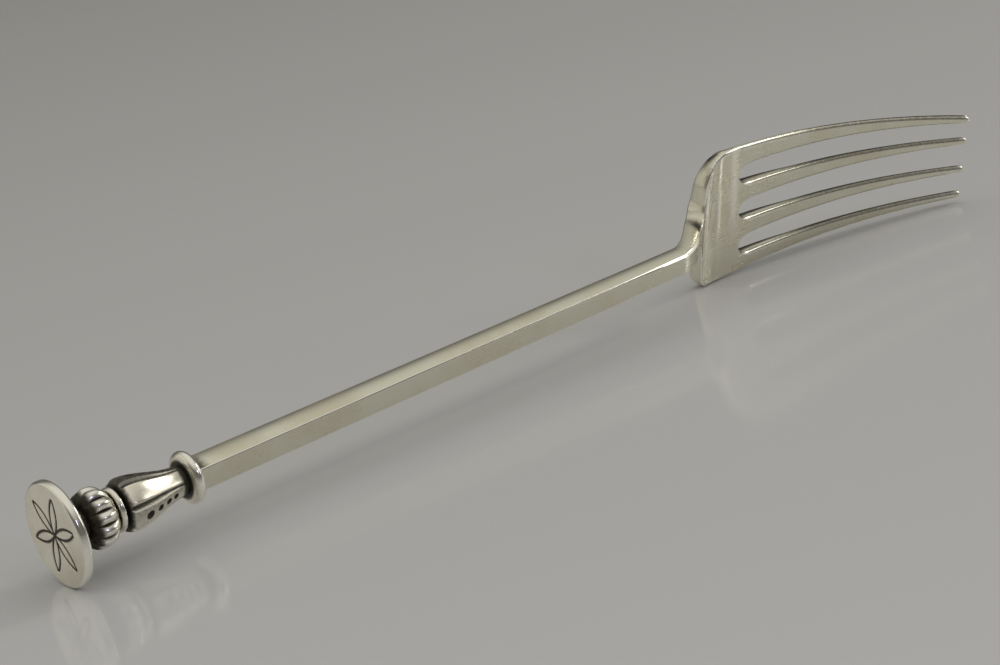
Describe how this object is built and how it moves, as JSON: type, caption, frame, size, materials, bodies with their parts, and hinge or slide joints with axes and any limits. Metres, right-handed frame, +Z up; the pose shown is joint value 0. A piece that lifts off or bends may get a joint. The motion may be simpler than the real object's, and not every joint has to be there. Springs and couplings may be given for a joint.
{
  "type": "fork",
  "caption": "Silver seal-top fork lying on its side: long curved tines on a square-shouldered head, cranked neck, square stem, panelled baluster, lobed knop and a round flat seal.",
  "frame": {"origin": "middle of the fork's footprint, on the surface that it lies on", "axes": "+X from the seal towards the tips of the tines, +Z up from the surface, +Y towards the back of the head"},
  "size_m": [0.1634, 0.0164, 0.0212],
  "materials": {
    "forged_silver": "hand-polished silver with fine scratches and light yellow tarnish",
    "cast_silver": "cast silver, bright on the crests, with dark patina left in the hollows",
    "seal_silver": "flat polished silver with a warm worn rim"
  },
  "bodies": {
    "root": {"fork_forging": "forged_silver", "stem_collar": "cast_silver", "baluster": "cast_silver", "fillet_ring": "cast_silver", "lobed_knop": "cast_silver", "seal_disc": "seal_silver"}
  },
  "joints": []
}
